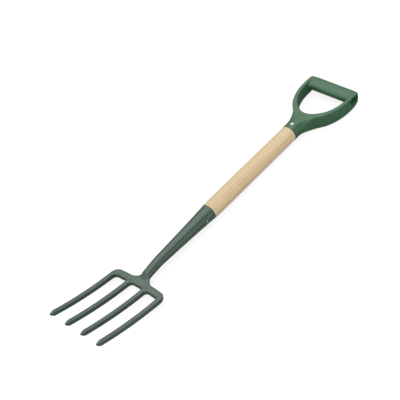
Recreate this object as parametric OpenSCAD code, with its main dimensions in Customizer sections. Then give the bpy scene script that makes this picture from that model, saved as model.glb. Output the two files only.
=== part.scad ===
// Four-tined border fork: forged head, tapered steel socket, ash shaft, moulded D grip.
// It lies on its back: tines toward -Y, grip toward +Y, dished front face up.
// Sizes are millimetres. Inside the modules y = 0 is the socket mouth and z = 0 the shaft axis.

/* [Tines] */
// Number of tines
tine_count = 4; // [2:1:6]
// Spacing of the tines at the shoulder, centre to centre
tine_pitch = 41.9; // [30:0.1:60]
// How much that spacing grows toward the points
tine_splay = 0.8; // [0:0.1:4]
// Reach of the tines, from the middle of the shoulder to the points
tine_len = 177; // [120:0.5:260]
// Width of a tine at the shoulder
tine_w = 9.5; // [7:0.1:14]
// Front to back depth of a tine at the shoulder
tine_d = 11; // [7:0.1:14]
// Share of that section left where the point begins
tine_taper = 0.85; // [0.6:0.01:1]
// Length of the forged point
point_len = 10.5; // [6:0.5:24]
// Radius of the tip of the point
point_r = 1.4; // [0.5:0.1:1.8]
// Radius of the long edges of a tine
tine_edge_r = 2; // [0.5:0.1:2.5]
// Radius of the dish that the tines follow
dish_r = 720; // [450:10:1500]
// Angle of the tines to the shaft at the shoulder, degrees
rake = 7.2; // [0:0.1:15]

/* [Shoulder and neck] */
// Width of the shoulder along the shaft
shoulder_w = 13.2; // [10:0.1:20]
// Front to back depth of the shoulder
shoulder_d = 11; // [9:0.1:16]
// Radius of the long edges of the shoulder
shoulder_edge_r = 4.4; // [2:0.1:4.5]
// Radius inside the crotches between the tines
crotch_r = 6.8; // [4:0.1:10]
// Depth of the web that fills each crotch, past the shoulder
crotch_web = 3.8; // [0:0.1:6]
// Radius round the outer corners of the shoulder
corner_r = 16.8; // [11:0.1:20]
// How far the shoulder's line bends toward the points at its ends
shoulder_bow = 3.2; // [0:0.1:5]
// How far the shoulder sits behind the shaft axis
head_drop = 10.4; // [4:0.1:16]
// Length of the neck, from the shoulder to the socket
neck_len = 52; // [30:0.5:80]
// Width of the neck just above the shoulder
neck_w = 19.6; // [14:0.1:22]
// Radius of the webs between neck and shoulder
web_r = 14; // [8:0.5:18]
// How far the neck's middle line comes down behind the shaft axis
neck_drop = 7.4; // [2:0.1:14]
// Height above the shoulder at which the neck is fully round
neck_sink = 8.5; // [5:0.5:28]

/* [Socket] */
// Length of the socket
socket_len = 158; // [110:1:220]
// Outer diameter of the socket at the neck
socket_end_d = 22.2; // [18:0.1:30]
// Outer diameter of the socket at its mouth
socket_mouth_d = 36; // [30:0.1:46]
// Share of the flare that comes from its curve
socket_curve = 0.3; // [0:0.05:0.8]
// Thickness of the socket wall
socket_wall = 1.8; // [1.2:0.1:3]
// Diameter of the tang that keys the head into the socket
tang_d = 12; // [8:0.5:14]
// Length of the tang
tang_len = 22; // [10:1:28]

/* [Shaft] */
// Diameter of the shaft
shaft_d = 38; // [32:0.1:46]
// Bare length of the shaft, from socket to grip
shaft_len = 275; // [180:1:700]
// Length of the tapered end inside the socket
shaft_seat_len = 118; // [70:1:130]
// How much thinner the shaft is where it meets the socket, on the diameter
shaft_ease = 0.8; // [0:0.1:1.5]
// Length over which the shaft thins toward the socket
shaft_ease_len = 30; // [10:1:80]
// Diameter of the tenon inside the grip
tenon_d = 32; // [24:0.1:34]
// Length of the tenon inside the grip
tenon_len = 48; // [30:1:50]

/* [Grip] */
// Thickness by which the grip stands proud of the shaft
grip_proud = 0.4; // [0:0.1:1.5]
// Length of the round barrel of the grip
barrel_len = 17.5; // [14:0.5:40]
// Length of the grip's throat, from its mouth to the hand opening
throat_len = 62.5; // [52:0.5:80]
// Overall width of the grip
grip_w = 127.6; // [110:0.1:160]
// Height of the arms above the shaft axis
arm_front = 15.6; // [11:0.1:18]
// Depth of the arms below the shaft axis
arm_back = 18.6; // [11:0.1:19]
// Thickness of the arms beside the bar
arm_t = 5.5; // [4:0.1:10]
// Radius of the long edges of the arms
arm_edge_r = 2; // [1:0.1:3]
// Radius of the arms' ends at the front, seen from the side
arm_end_front_r = 12; // [2:0.5:15]
// Radius of the arms' ends at the back, seen from the side
arm_end_back_r = 9.5; // [6:0.5:15]
// Radius of the grip's outer corners, seen from the front
grip_corner_r = 15.5; // [2:0.5:18]
// Width of the throat where the barrel opens into the arms
throat_w = 46; // [42:0.5:60]
// Depth of the hand opening, from its crotch to the bar
opening_len = 87.5; // [80:0.5:120]
// Thickness of the crotch between the barrel's end and the hand opening
grip_crotch_t = 14; // [12:0.5:30]
// Width of the bar along the shaft
bar_w = 35; // [24:0.5:40]
// Height of the bar's front above the shaft axis
bar_front = 14; // [5:0.1:15]
// Depth of the bar's back below the shaft axis
bar_back = 9.4; // [8:0.1:15]
// Radius of the bar's long edges
bar_edge_r = 11; // [3:0.1:11.5]

/* [Rivets] */
// Diameter of the grip rivet's shank
grip_rivet_d = 5; // [3:0.1:6]
// Diameter of the grip rivet's head
grip_rivet_head_d = 9.6; // [7:0.1:11]
// Height of the grip rivet's head
grip_rivet_head_h = 1.7; // [1:0.1:3]
// Distance of the grip rivet from the grip's mouth
grip_rivet_y = 16; // [10:0.5:24]
// Thickness of the washer under the peened end
burr_t = 1; // [0.6:0.1:1.2]
// Height of the peened end
peen_h = 0.8; // [0.5:0.1:1]
// Diameter of the socket rivet's shank
socket_rivet_d = 4.4; // [3:0.1:6]
// Diameter of the socket rivet's heads
socket_rivet_head_d = 6.6; // [6:0.1:9]
// Height of the socket rivet's heads
socket_rivet_head_h = 1; // [0.8:0.1:2]
// Distance of the socket rivet from the socket's mouth
socket_rivet_y = 23.4; // [15:0.5:45]
// Clearance between pieces that slide together
fit_gap = 0.15; // [0.1:0.05:0.3]

/* [Hidden] */
$fn = 64;
steel_green = [0.36, 0.43, 0.38];
socket_green = [0.30, 0.40, 0.34];
grip_green = [0.33, 0.49, 0.37];
ash = [0.87, 0.77, 0.60];
bright = [0.86, 0.87, 0.87];

shaft_r = shaft_d / 2;
barrel_r = shaft_r + grip_proud;
neck_y = -socket_len;
shoulder_y = neck_y - neck_len - shoulder_w / 2;
tip_y = shoulder_y - tine_len;
grip_y = shaft_len;
opening_y = grip_y + throat_len;
bar_y = opening_y + opening_len;
grip_end_y = bar_y + bar_w;
// the part lies on the barrel or the shoulder, and its length is centred on the origin
axis_z = max(barrel_r, head_drop + shoulder_d / 2 + sin(rake) * shoulder_w / 2);
mid_y = (tip_y + grip_end_y) / 2;

// points on each rounded corner of a section, more on a round one,
// and the least flat left between two corners
corner_points = 5;
round_points = 9;
barrel_points = 17;
sliver = 0.01;
// segments along a tine, round a bend, between two bends, down the neck, along its webs
tine_steps = 12;
bend_steps = 6;
level_steps = 6;
neck_steps = 14;
web_steps = 8;
// segments along an arm, beside the bar, round an arm's end
arm_steps = 16;
beside_steps = 4;
end_steps = 8;
// segments along the throat and along each end of the bar
throat_steps = 10;
bar_steps = 5;
// segments along the socket and along the part of the shaft that thins
socket_steps = 12;
ease_steps = 6;
// how far the crotch bends and the corners reach down the tines, past their own radius
leg_len = 6;
// the buried end of a bend is this much slimmer than the tine that holds it
bury = 0.3;

// radius of the middle line round the shoulder's outer corners
corner_line_r = corner_r - shoulder_w / 2;
// radius of the front and back edges in the crotches
crotch_edge_r = 3.5;
// the points sit this far in front of the tines' middle line
point_rise = 0.24 * tine_d;
// end of the shank that the point grows out of
point_root = 1;
// the neck's rings crowd toward the shoulder, and its middle line bends by these powers
neck_crowd = 1.5;
neck_curve = 1.2;
// thickness of the webs at the shoulder and where they run out inside the neck
web_t = 8.4;
web_end_t = 5;
// how far the webs start inside the shoulder and end inside the neck
web_sink = 1.5;
web_bury = 1.5;

// smooth step from 0 to 1
function ease(t) =
    let (c = min(max(t, 0), 1))
    c * c * (3 - 2 * c);

function mix(a, b, t) = a + (b - a) * t;

// height of a circular rounding of radius r at distance e from its edge
function rounding(e, r) = e >= r ? 0 : r - sqrt(max(0, r * r - (r - e) * (r - e)));

// signed power, for superellipse outlines
function spow(x, p) = sign(x) * pow(abs(x), p);

// rounded rectangle, counter-clockwise
function rounded_rect(w, d, r, n = corner_points) =
    let (q = min(r, min(w, d) / 2 - sliver))
    [for (c = [0:3], i = [0:n - 1])
        let (
            a = 90 * c + 90 * i / (n - 1),
            cx = (c == 0 || c == 3 ? 1 : -1) * (w / 2 - q),
            cy = (c < 2 ? 1 : -1) * (d / 2 - q)
        )
        [cx + q * cos(a), cy + q * sin(a)]];

// a section set in space on its own axes
function ring(section, at, across, up) = [for (p = section) at + p[0] * across + p[1] * up];

// one convex segment between two rings
module segment(a, b) {
    n = len(a);
    hull() polyhedron(concat(a, b), [[for (i = [0:n - 1]) i], [for (i = [0:n - 1]) n + i]]);
}

// a chain of segments through a list of rings
module chain(rings) {
    for (i = [0:len(rings) - 2]) segment(rings[i], rings[i + 1]);
}

// turn a shape made along Z so that it points along Y
module along_y() {
    rotate([-90, 0, 0]) children();
}

// put a piece in the part's frame
module place() {
    translate([0, -mid_y, axis_z]) children();
}

// the dish: u runs from the shoulder's middle toward the points
function dish_angle(u) = atan(tan(rake) + u / dish_r);
function dish_point(x, u) = [x, shoulder_y - u, -head_drop + u * tan(rake) + u * u / (2 * dish_r)];
function dish_up(u) = [0, sin(dish_angle(u)), cos(dish_angle(u))];
function dish_down(u) = [0, -cos(dish_angle(u)), sin(dish_angle(u))];
function tine_x(k, u) = (k - (tine_count - 1) / 2) * (tine_pitch + tine_splay * max(u, 0) / tine_len);

// how far the shoulder's line bends toward the points at x, and its slope there
bow_half = tine_x(tine_count - 1, 0);
function bow(x) = shoulder_bow * pow(x / bow_half, 2);
function bow_slope(x) = 2 * shoulder_bow * x / pow(bow_half, 2);

// section of the bar at plan position [x, u], heading h degrees from +X, on the dish
function dish_ring(x, u, h, w, d, r) =
    let (across = -sin(h) * [1, 0, 0] + cos(h) * dish_down(u))
    ring(rounded_rect(w, d, r), dish_point(x, u), across, dish_up(u));

// the same section with its place and heading bent along the shoulder's bow
function bowed_ring(x, u, h, w, d, r) =
    dish_ring(x, u + bow(x), atan2(sin(h) + bow_slope(x) * cos(h), cos(h)), w, d, r);

// taper of a tine's section at u
function tine_scale(u) = mix(1, tine_taper, max(u, 0) / (tine_len - point_len));

function tine_ring(k, u) =
    let (s = tine_scale(u))
    dish_ring(tine_x(k, u), u, 90, tine_w * s, tine_d * s, tine_edge_r);

module tine(k) {
    shank_len = tine_len - point_len;
    outermost = k == 0 || k == tine_count - 1;
    start = outermost ? corner_line_r + shoulder_bow : 0;
    chain([for (i = [0:tine_steps]) tine_ring(k, mix(start, shank_len, i / tine_steps))]);
    tip = dish_point(tine_x(k, tine_len), tine_len - point_r) + point_rise * dish_up(tine_len);
    hull() {
        segment(tine_ring(k, shank_len - point_root), tine_ring(k, shank_len));
        translate(tip) sphere(r = point_r, $fn = 12);
    }
}

// bar that comes up one tine, turns along the shoulder and goes down the next one:
// r is the radius of its middle line and top its place on the shoulder
module bend(x0, x1, r, top, w, d, edge) {
    leg = top + r + leg_len;
    slim = tine_w - bury;
    thin = tine_d - bury;
    rise = [for (i = [0:bend_steps])
        let (a = 90 * i / bend_steps, s = ease(i / bend_steps))
        bowed_ring(x0 + r - r * cos(a), top + r - r * sin(a), a - 90,
            mix(slim, w, s), mix(thin, d, s), mix(tine_edge_r, edge, s))];
    level = [for (i = [1:level_steps - 1])
        bowed_ring(mix(x0 + r, x1 - r, i / level_steps), top, 0, w, d, edge)];
    fall = [for (i = [bend_steps:-1:0])
        let (a = 90 * i / bend_steps, s = ease(i / bend_steps))
        bowed_ring(x1 - r + r * cos(a), top + r - r * sin(a), 90 - a,
            mix(slim, w, s), mix(thin, d, s), mix(tine_edge_r, edge, s))];
    chain(concat(
        [bowed_ring(x0, leg, -90, slim, thin, tine_edge_r)],
        rise,
        level,
        fall,
        [bowed_ring(x1, leg, 90, slim, thin, tine_edge_r)]
    ));
}

// front and back of the flat plate that the neck comes down to
plate_front = -head_drop + (shoulder_d - bury) / 2;
plate_back = -head_drop - (shoulder_d - bury) / 2;

// middle line of the neck, from the shoulder (t = 0) to the socket (t = 1)
function neck_z(t) = -neck_drop * pow(1 - max(t, 0), neck_curve);

// section of the neck at height v above the shoulder: round, until its front slopes to the plate
function neck_ring(v) =
    let (
        t = v / neck_len,
        r = mix(neck_w, socket_end_d, t) / 2,
        round = ease(v / neck_sink),
        front = mix(plate_front, neck_z(t) + r, round),
        back = mix(plate_back, neck_z(t) - r, round)
    )
    ring(rounded_rect(2 * r, front - back, r, round_points),
        [0, neck_y - neck_len + v, (front + back) / 2], [1, 0, 0], [0, 0, 1]);

// section of the plate whose curved sides are the webs: it rises into the middle of the neck
function web_ring(v) =
    let (
        t = max(v, 0) / web_r,
        half_w = neck_w / 2 + rounding(v + web_sink, web_r + web_sink) - web_bury * t,
        z = mix(-head_drop, neck_z(v / neck_len), ease(t))
    )
    ring(rounded_rect(2 * half_w, mix(web_t, web_end_t, t), web_t / 2),
        [0, neck_y - neck_len + v, z], [1, 0, 0], [0, 0, 1]);

module neck() {
    chain([for (i = [0:neck_steps]) neck_ring(neck_len * pow(i / neck_steps, neck_crowd))]);
    chain([for (i = [0:web_steps]) web_ring(mix(-web_sink, web_r, pow(i / web_steps, neck_crowd)))]);
    // feet of the neck and of its webs inside the shoulder
    foot = rounded_rect(neck_w, shoulder_d - bury, shoulder_edge_r);
    web_foot = rounded_rect(neck_w + 2 * (web_r + web_sink), web_t, web_t / 2);
    for (f = [[foot, 0], [web_foot, -web_sink]])
        segment(ring(f[0], [0, neck_y - neck_len + f[1], -head_drop], [1, 0, 0], [0, 0, 1]),
            ring(f[0], dish_point(0, 0), [1, 0, 0], dish_up(0)));
}

module fork_head() {
    bend_r = crotch_r + tine_w / 2;
    bend_top = (shoulder_w - tine_w) / 2 + crotch_web;
    color(steel_green) place() {
        for (k = [0:tine_count - 1]) tine(k);
        for (k = [0:tine_count - 2])
            bend(tine_x(k, 0), tine_x(k + 1, 0), bend_r, bend_top,
                tine_w, shoulder_d - bury, crotch_edge_r);
        bend(tine_x(0, 0), tine_x(tine_count - 1, 0), corner_line_r, 0,
            shoulder_w, shoulder_d, shoulder_edge_r);
        neck();
        translate([0, neck_y, 0]) along_y() cylinder(d = tang_d, h = tang_len, $fn = 32);
    }
}

// outer radius of the socket at distance s from its narrow end
function socket_r(s) =
    let (t = s / socket_len)
    (socket_end_d + (socket_mouth_d - socket_end_d) * mix(t, t * t, socket_curve)) / 2;

// inner radius of the socket, where it holds the shaft
function seat_r(s) = socket_r(s) - socket_wall;

// room left past the ends of the tang, the shaft and the tenon
end_room = 1;
// the shaft's tapered end stops short of the tang
seat_start = max(socket_len - shaft_seat_len, tang_len + 3 * end_room);
// flats under the socket rivet's heads, and the room round every rivet head
spot_depth = 0.25;
head_room = 0.3;
socket_flat_x = socket_r(socket_len - socket_rivet_y) - spot_depth;

module socket() {
    outer = [for (i = [0:socket_steps]) let (s = socket_len * i / socket_steps) [socket_r(s), s]];
    inner = [for (i = [socket_steps:-1:0])
        let (s = mix(seat_start - end_room, socket_len, i / socket_steps))
        [seat_r(s), s]];
    color(socket_green) place() difference() {
        translate([0, neck_y, 0]) along_y() rotate_extrude()
            polygon(concat(
                [[tang_d / 2 + fit_gap, 0]],
                outer,
                inner,
                [[0, seat_start - end_room], [0, tang_len + end_room]],
                [[tang_d / 2 + fit_gap, tang_len + end_room]]
            ));
        translate([0, -socket_rivet_y, 0]) rotate([0, 90, 0])
            cylinder(d = socket_rivet_d + 2 * fit_gap, h = 2 * socket_mouth_d, center = true);
        for (side = [0, 180]) rotate([0, side, 0])
            translate([socket_flat_x, -socket_rivet_y, 0]) rotate([0, 90, 0])
                cylinder(d = socket_rivet_head_d + 2 * head_room, h = socket_mouth_d);
    }
}

// the tenon is always thinner than the shaft and stops short of the hand opening
tenon_r = min(tenon_d / 2, shaft_r - 1);
tenon_end = grip_y + min(tenon_len, throat_len - 10);
tenon_chamfer = 2;

module shaft() {
    thin_r = shaft_r - shaft_ease / 2;
    seat = [for (i = [0:socket_steps])
        let (s = mix(seat_start, socket_len, i / socket_steps))
        [seat_r(s) - fit_gap, s - socket_len]];
    thinning = [for (i = [0:ease_steps])
        let (t = i / ease_steps)
        [mix(thin_r, shaft_r, ease(t)), shaft_ease_len * t]];
    tenon = [[shaft_r, grip_y], [tenon_r, grip_y], [tenon_r, tenon_end - tenon_chamfer],
        [tenon_r - tenon_chamfer, tenon_end], [0, tenon_end]];
    color(ash) place() difference() {
        along_y() rotate_extrude()
            polygon(concat([[0, seat_start - socket_len]], seat, thinning, tenon));
        translate([0, -socket_rivet_y, 0]) rotate([0, 90, 0])
            cylinder(d = socket_rivet_d + 2 * fit_gap, h = 2 * shaft_d, center = true);
        translate([0, grip_y + grip_rivet_y, 0])
            cylinder(d = grip_rivet_d + 2 * fit_gap, h = 2 * shaft_d, center = true);
    }
}

// outlines of the grip, seen from the front: arcs from the crotch (t = 0) to the bar (t = 90),
// a power of 1 is an ellipse and larger powers are straighter
outer_power = 0.98;
inner_power = 1.1;
outer_half = grip_w / 2;
inner_half = outer_half - arm_t;
// the inner sides of the arms run straight for this length up to the bar
inner_straight = 3;
outer_depth = opening_len + grip_crotch_t;
inner_depth = opening_len - inner_straight;
function arc_point(t, half, depth, end_y, power) =
    [half * spow(sin(t), power), end_y - depth * spow(cos(t), power)];
function outer_point(t) = arc_point(t, outer_half, outer_depth, bar_y, outer_power);
function inner_point(t) = arc_point(t, inner_half, inner_depth, bar_y - inner_straight, inner_power);

// the throat's edges at the hand opening and its distance from it
throat_edge_r = 3;
throat_margin = 1.5;
throat_end_y = opening_y - throat_margin;
// half the width of the arms' outer outline at y, below the bar
function outline_half(y) =
    outer_half * pow(sin(acos(pow((bar_y - y) / outer_depth, 1 / outer_power))), outer_power);
// the throat's last flare, up to that outline, and the power by which it comes in
throat_flare = max(outline_half(throat_end_y) - throat_w / 2, 0);
flare_power = 4;
// how far the bar reaches into the arms, and the radius of its edges there
bar_bite = 0.6;
bar_end_edge_r = 4.5;
// the arms overlap by this angle past the middle of the crotch
arm_overlap = 4;
// the arms' ends keep this height where their front and back roundings meet, and this thickness
arm_end_h = 2;
arm_end_t = 5;
end_back_r = min(arm_end_back_r, arm_back + bar_front - arm_end_front_r - arm_end_h);

// front of the arms: it comes down to the bar at the grip's end
function arm_top(y) = mix(arm_front, bar_front, ease((y - bar_y) / bar_w));

// upright section of an arm between its inner and outer outlines, e short of the grip's end
function arm_ring(p, q, e) =
    let (
        across = [q[0] - p[0], q[1] - p[1], 0],
        w = norm(across),
        top = arm_top((p[1] + q[1]) / 2) - rounding(e, arm_end_front_r),
        bottom = rounding(e, end_back_r) - arm_back,
        mid = [(p[0] + q[0]) / 2, (p[1] + q[1]) / 2, (top + bottom) / 2]
    )
    ring(rounded_rect(w, top - bottom, arm_edge_r), mid, across / w, [0, 0, 1]);

module arm() {
    // curved part
    curve = [for (i = [0:arm_steps])
        let (t = mix(-arm_overlap, 90, i / arm_steps))
        arm_ring(inner_point(t), outer_point(t), grip_end_y - outer_point(t)[1])];
    // straight part beside the bar
    beside = [for (i = [1:beside_steps - 1])
        let (y = bar_y + (bar_w - end_back_r) * i / beside_steps)
        arm_ring([inner_half, y], [outer_half, y], grip_end_y - y)];
    // rounded end
    end = [for (i = [0:end_steps])
        let (
            e = end_back_r * (1 - sin(90 * i / end_steps)),
            y = grip_end_y - e,
            x = outer_half - rounding(e, grip_corner_r)
        )
        arm_ring([min(inner_half, x - arm_end_t), y], [x, y], e)];
    chain(concat(curve, beside, end));
}

bar_reach = inner_half + bar_bite;
bar_straight = min(bar_reach - 1, outer_half - grip_corner_r);

// section of the bar: its far side follows the grip's rounded corners and its edges narrow there
function bar_ring(x) =
    let (
        w = bar_w - rounding(outer_half - abs(x), grip_corner_r),
        t = (abs(x) - bar_straight) / (bar_reach - bar_straight),
        edge = mix(bar_edge_r, min(bar_edge_r, bar_end_edge_r), ease(t))
    )
    ring(rounded_rect(bar_front + bar_back, w, edge, round_points),
        [x, bar_y + w / 2, (bar_front - bar_back) / 2], [0, 0, 1], [0, 1, 0]);

module bar() {
    right = [for (i = [0:bar_steps]) mix(bar_straight, bar_reach, i / bar_steps)];
    chain(concat([for (i = [bar_steps:-1:0]) bar_ring(-right[i])], [for (x = right) bar_ring(x)]));
}

// section of the throat: t runs from the round barrel (0) to the hand opening (1)
function throat_ring(t) =
    let (
        s = ease(t),
        w = mix(2 * barrel_r, throat_w, s) + 2 * throat_flare * pow(t, flare_power),
        d = mix(2 * barrel_r, arm_front + arm_back, s)
    )
    ring(rounded_rect(w, d, mix(barrel_r, throat_edge_r, s), barrel_points),
        [0, mix(grip_y + barrel_len, throat_end_y, t), s * (arm_front - arm_back) / 2],
        [1, 0, 0], [0, 0, 1]);

// round barrel that widens into the throat
module barrel() {
    translate([0, grip_y, 0]) along_y() cylinder(r = barrel_r, h = barrel_len);
    chain([for (i = [0:throat_steps]) throat_ring(i / throat_steps)]);
}

// seats of the grip rivet's head and of its washer
head_sink = 1.4;
front_seat_z = barrel_r - head_sink;
back_seat_z = -(barrel_r - burr_t - peen_h);

module d_grip() {
    color(grip_green) place() difference() {
        union() {
            barrel();
            for (side = [0, 1]) mirror([side, 0, 0]) arm();
            bar();
        }
        translate([0, grip_y - end_room, 0]) along_y()
            cylinder(r = tenon_r + fit_gap, h = tenon_end - grip_y + 2 * end_room);
        translate([0, grip_y + grip_rivet_y, 0]) {
            cylinder(d = grip_rivet_d + 2 * fit_gap, h = 3 * barrel_r, center = true);
            translate([0, 0, front_seat_z])
                cylinder(d = grip_rivet_head_d + 2 * head_room, h = barrel_r);
            translate([0, 0, back_seat_z - barrel_r])
                cylinder(d = grip_rivet_head_d + 2 * head_room, h = barrel_r);
        }
    }
}

// domed rivet head of diameter d and height h, standing on z = 0
module dome(d, h) {
    r = (d * d / 4 + h * h) / (2 * h);
    rotate_extrude() intersection() {
        translate([0, h - r]) circle(r = r);
        square([d, h]);
    }
}

// the peened end is wider than its shank by this
peen_spread = 1.6;

module grip_rivet() {
    color(bright) place() translate([0, grip_y + grip_rivet_y, 0]) {
        translate([0, 0, front_seat_z]) dome(grip_rivet_head_d, grip_rivet_head_h);
        translate([0, 0, -barrel_r + peen_h])
            cylinder(d = grip_rivet_d, h = front_seat_z + barrel_r - peen_h);
        translate([0, 0, -barrel_r]) cylinder(d = grip_rivet_d + peen_spread, h = peen_h);
    }
}

module grip_rivet_burr() {
    color(bright) place() translate([0, grip_y + grip_rivet_y, back_seat_z - burr_t]) difference() {
        cylinder(d = grip_rivet_head_d, h = burr_t);
        cylinder(d = grip_rivet_d + 2 * fit_gap, h = 3 * burr_t, center = true);
    }
}

module socket_rivet() {
    color(bright) place() translate([0, -socket_rivet_y, 0]) {
        rotate([0, 90, 0]) cylinder(d = socket_rivet_d, h = 2 * socket_flat_x, center = true);
        for (side = [0, 180]) rotate([0, side, 0])
            translate([socket_flat_x, 0, 0]) rotate([0, 90, 0])
                dome(socket_rivet_head_d, socket_rivet_head_h);
    }
}

fork_head();
socket();
shaft();
d_grip();
grip_rivet();
grip_rivet_burr();
socket_rivet();
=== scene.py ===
# %% [markdown]
# # A border fork, from bare solids to a finished picture
#
# The fork lies on its back: a forged steel head with four dished tines, a tapered steel socket, a
# turned ash shaft and a moulded D grip, held by two rivets. The packed CAD model gives every size
# and place, in metres, in one frame. Blender adds what the solids leave plain: soft forging radii,
# enamel, wood grain, moulded plastic, bright rivets and studio light.

# %% Load the packed model
import math

import bmesh
import bpy
from mathutils import Matrix, Vector


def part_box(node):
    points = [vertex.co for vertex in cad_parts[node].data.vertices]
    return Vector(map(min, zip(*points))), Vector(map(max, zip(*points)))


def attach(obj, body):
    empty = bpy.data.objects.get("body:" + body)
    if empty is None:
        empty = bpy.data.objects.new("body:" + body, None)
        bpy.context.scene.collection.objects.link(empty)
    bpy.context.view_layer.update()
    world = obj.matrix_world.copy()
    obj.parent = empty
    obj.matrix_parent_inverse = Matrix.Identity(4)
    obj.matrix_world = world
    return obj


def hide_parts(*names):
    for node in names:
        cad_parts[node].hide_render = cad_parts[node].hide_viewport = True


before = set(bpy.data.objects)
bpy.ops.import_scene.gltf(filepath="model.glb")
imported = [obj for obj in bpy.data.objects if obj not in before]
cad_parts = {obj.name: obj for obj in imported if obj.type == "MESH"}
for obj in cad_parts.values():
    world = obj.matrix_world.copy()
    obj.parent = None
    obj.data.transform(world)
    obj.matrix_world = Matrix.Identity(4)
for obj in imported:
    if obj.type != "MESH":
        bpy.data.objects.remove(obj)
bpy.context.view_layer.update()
print("CAD nodes:", ", ".join(sorted(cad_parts)))

# %% [markdown]
# ## One place to measure from
#
# A fork maker measures along the shaft. So does this script: millimetres from the centre of the
# socket's mouth, with y up the shaft, x across and z out of the dished front. The mouth itself is
# read from the packed socket, so the pieces follow it wherever the frame puts it.

# %% Measure from the socket's mouth
MM = 0.001
socket_low, socket_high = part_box("socket")
MOUTH = Vector((0.0, socket_high.y, (socket_low.z + socket_high.z) / 2))


def place(x, y, z):
    """Millimetres from the socket's mouth, as a point in the shared frame."""
    return MOUTH + Vector((x, y, z)) * MM


print("socket mouth at", [round(v * 1000, 1) for v in MOUTH], "mm")

# %% [markdown]
# ## The camera
#
# The viewpoint was solved from the photograph: the axis of the shaft, the parallel tines and the
# two rivets fix where the lens stood. It looks down at about 45 degrees, from the side of the
# tines, with a long lens and a slight roll. The picture is square, so the sensor's width is the
# picture's width.

# %% Set up the camera
PICTURE = 400
FOCAL_PIXELS = 996.35
EYE = (1106.5, -941.1, 1473.3)
FORWARD = Vector((-0.54609, 0.45643, -0.70246))
UP = Vector((-0.37381, 0.61765, 0.69193))

lens = bpy.data.cameras.new("camera")
lens.sensor_width = 36.0
lens.lens = FOCAL_PIXELS / PICTURE * lens.sensor_width
lens.clip_start = 0.05
lens.clip_end = 60.0
camera = bpy.data.objects.new("camera", lens)
bpy.context.scene.collection.objects.link(camera)
right = FORWARD.cross(UP).normalized()
turn = Matrix((right, right.cross(FORWARD), -FORWARD)).transposed()
camera.matrix_world = Matrix.Translation(place(*EYE)) @ turn.to_4x4()
bpy.context.scene.camera = camera
print("camera at", [round(v, 3) for v in camera.location], "lens", round(lens.lens, 1), "mm")

# %% [markdown]
# ## A helper for node trees
#
# Geometry and materials are both drawn as node trees. This small helper adds a node, sets its
# options and connects its inputs by name, so a tree reads from top to bottom like a recipe.


# %% A helper for node trees
class Recipe:
    """Adds nodes to a tree; an input may be a number, a colour, a node or a socket."""

    def __init__(self, tree):
        self.tree = tree

    def feed(self, socket, value):
        if isinstance(value, bpy.types.Node):
            value = value.outputs[0]
        if isinstance(value, bpy.types.NodeSocket):
            self.tree.links.new(value, socket)
        else:
            socket.default_value = value

    def add(self, kind, inputs=None, **options):
        node = self.tree.nodes.new(kind)
        for option, value in options.items():
            setattr(node, option, value)
        for name, value in (inputs or {}).items():
            self.feed(node.inputs[name], value)
        return node

    def math(self, operation, *values):
        node = self.add("ShaderNodeMath", operation=operation)
        for socket, value in zip(node.inputs, values):
            self.feed(socket, value)
        return node.outputs[0]

    def noise(self, vector, scale, detail=2.0, roughness=0.5):
        return self.add("ShaderNodeTexNoise", {"Vector": vector, "Scale": scale, "Detail": detail,
                                               "Roughness": roughness}).outputs[0]

    def between(self, factor, low, high):
        """Turns 0 to 1 into low to high."""
        node = self.add("ShaderNodeMapRange", {"Value": factor, "To Min": low, "To Max": high})
        return node.outputs[0]

    def step(self, value, start, end):
        """Turns start to end into 0 to 1."""
        node = self.add("ShaderNodeMapRange", {"Value": value, "From Min": start, "From Max": end})
        return node.outputs[0]

    def ramp(self, factor, *stops):
        node = self.add("ShaderNodeValToRGB", {"Fac": factor})
        elements = node.color_ramp.elements
        while len(elements) < len(stops):
            elements.new(0.5)
        for element, (position, colour) in zip(elements, stops):
            element.position = position
            element.color = (*colour, 1.0)
        return node.outputs["Color"]

    def blend(self, factor, first, second):
        node = self.add("ShaderNodeMix", data_type="RGBA")
        self.feed(node.inputs["Factor"], factor)
        colours = [s for s in node.inputs if s.type == "RGBA"]
        self.feed(colours[0], first)
        self.feed(colours[1], second)
        return next(s for s in node.outputs if s.type == "RGBA")

    def bump(self, height, strength, distance, normal=None):
        node = self.add("ShaderNodeBump", {"Height": height, "Strength": strength,
                                           "Distance": distance})
        if normal is not None:
            self.feed(node.inputs["Normal"], normal)
        return node.outputs["Normal"]


print("recipe steps:", ", ".join(step for step in vars(Recipe) if step[0] != "_"))


# %% A new finish
def new_finish(name):
    """A material with a Principled shader, and the recipe that draws the rest of its tree."""
    material = bpy.data.materials.new(name)
    material.use_nodes = True
    recipe = Recipe(material.node_tree)
    shader = material.node_tree.nodes["Principled BSDF"]
    where = recipe.add("ShaderNodeTexCoord").outputs["Object"]
    return material, recipe, shader, where


print("finishes start from a Principled shader")
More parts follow.
